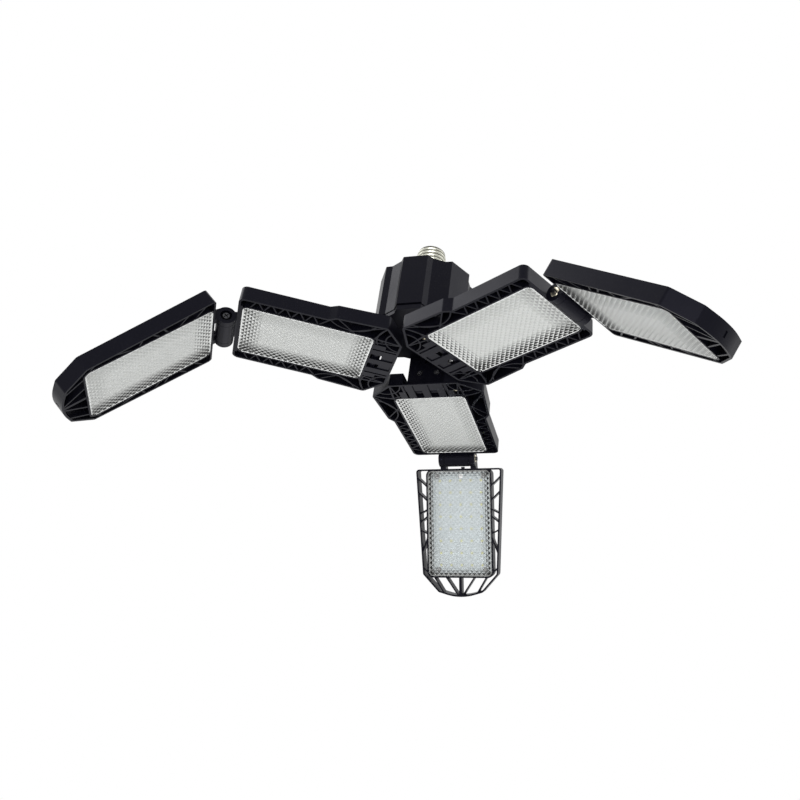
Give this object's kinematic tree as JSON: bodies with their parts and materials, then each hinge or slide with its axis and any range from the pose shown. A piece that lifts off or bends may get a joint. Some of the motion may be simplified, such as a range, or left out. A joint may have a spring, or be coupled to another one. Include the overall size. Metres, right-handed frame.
{
  "type": "three-wing folding ceiling lamp with a screw base",
  "caption": "Ceiling lamp with a medium screw base, a faceted driver housing and three hinged wings, each an inner and an outer LED panel with a clear prismatic lens.",
  "frame": {"origin": "centre of the flat seat at the foot of the screw base's threaded shell, on the lamp's axis", "axes": "+Z along the lamp's axis into the lamp holder, so the lamp hangs down; +Y towards the rear wing; +X to the right, between the rear and the right wing's sides"},
  "size_m": [0.4714, 0.3848, 0.2537],
  "materials": {
    "shell_metal": "pale nickel-coated sheet, satin",
    "insulator_dark": "dark moulded insulator",
    "contact_brass": "solder-bright contact",
    "housing_black": "black moulded plastic, satin gloss",
    "frame_black": "black moulded plastic, satin gloss",
    "lens_clear": "clear plastic with a fine prism pattern",
    "led_board_white": "white-coated metal-core board",
    "led_phosphor": "yellow phosphor, unlit",
    "screw_steel": "zinc-plated",
    "bolt_steel": "black-finished",
    "nut_brass": "yellow zinc-plated steel",
    "circuit_board": "green solder mask",
    "transformer_core": "ferrite with yellow tape",
    "capacitor_sleeve": "dark blue sleeve",
    "choke_copper": "enamelled copper winding",
    "chip_black": "moulded package"
  },
  "bodies": {
    "hub": {"screw_shell": "shell_metal", "base_insulator": "insulator_dark", "centre_contact": "contact_brass", "driver_housing": "housing_black", "hinge_base": "housing_black", "housing_screws": "screw_steel", "wire_covers": "housing_black", "wire_cover_screws": "screw_steel", "driver_board": "circuit_board", "transformer": "transformer_core", "smoothing_capacitors": "capacitor_sleeve", "choke_coil": "choke_copper", "driver_chips": "chip_black"},
    "inner_left": {"inner_frame_left": "frame_black", "inner_lens_left": "lens_clear", "inner_led_board_left": "led_board_white", "inner_leds_left": "led_phosphor", "inner_board_screws_left": "screw_steel", "inner_hinge_bolt_left": "bolt_steel", "inner_hinge_nut_left": "nut_brass"},
    "outer_left": {"outer_frame_left": "frame_black", "outer_lens_left": "lens_clear", "outer_led_board_left": "led_board_white", "outer_leds_left": "led_phosphor", "outer_board_screws_left": "screw_steel", "outer_hinge_bolt_left": "bolt_steel", "outer_hinge_nut_left": "nut_brass"},
    "inner_rear": {"inner_frame_rear": "frame_black", "inner_lens_rear": "lens_clear", "inner_led_board_rear": "led_board_white", "inner_leds_rear": "led_phosphor", "inner_board_screws_rear": "screw_steel", "inner_hinge_bolt_rear": "bolt_steel", "inner_hinge_nut_rear": "nut_brass"},
    "outer_rear": {"outer_frame_rear": "frame_black", "outer_lens_rear": "lens_clear", "outer_led_board_rear": "led_board_white", "outer_leds_rear": "led_phosphor", "outer_board_screws_rear": "screw_steel", "outer_hinge_bolt_rear": "bolt_steel", "outer_hinge_nut_rear": "nut_brass"},
    "inner_right": {"inner_frame_right": "frame_black", "inner_lens_right": "lens_clear", "inner_led_board_right": "led_board_white", "inner_leds_right": "led_phosphor", "inner_board_screws_right": "screw_steel", "inner_hinge_bolt_right": "bolt_steel", "inner_hinge_nut_right": "nut_brass"},
    "outer_right": {"outer_frame_right": "frame_black", "outer_lens_right": "lens_clear", "outer_led_board_right": "led_board_white", "outer_leds_right": "led_phosphor", "outer_board_screws_right": "screw_steel", "outer_hinge_bolt_right": "bolt_steel", "outer_hinge_nut_right": "nut_brass"}
  },
  "joints": [
    {"name": "inner_hinge_left", "type": "hinge", "parent": "hub", "child": "inner_left", "pos_m": [-0.031, -0.0179, -0.1], "axis": [0.5, -0.866, 0], "range_deg": [0, 90]},
    {"name": "outer_hinge_left", "type": "hinge", "parent": "inner_left", "child": "outer_left", "pos_m": [-0.13484, -0.07785, -0.1077], "axis": [-0.5, 0.866, 0], "range_deg": [-42, 48]},
    {"name": "inner_hinge_rear", "type": "hinge", "parent": "hub", "child": "inner_rear", "pos_m": [0, 0.0358, -0.1], "axis": [-1, 0, 0], "range_deg": [0, 90]},
    {"name": "outer_hinge_rear", "type": "hinge", "parent": "inner_rear", "child": "outer_rear", "pos_m": [0, 0.1557, -0.1077], "axis": [1, 0, 0], "range_deg": [-26, 64]},
    {"name": "inner_hinge_right", "type": "hinge", "parent": "hub", "child": "inner_right", "pos_m": [0.031, -0.0179, -0.1], "axis": [0.5, 0.866, 0], "range_deg": [0, 90]},
    {"name": "outer_hinge_right", "type": "hinge", "parent": "inner_right", "child": "outer_right", "pos_m": [0.13484, -0.07785, -0.1077], "axis": [-0.5, -0.866, 0], "range_deg": [-54, 36]}
  ]
}
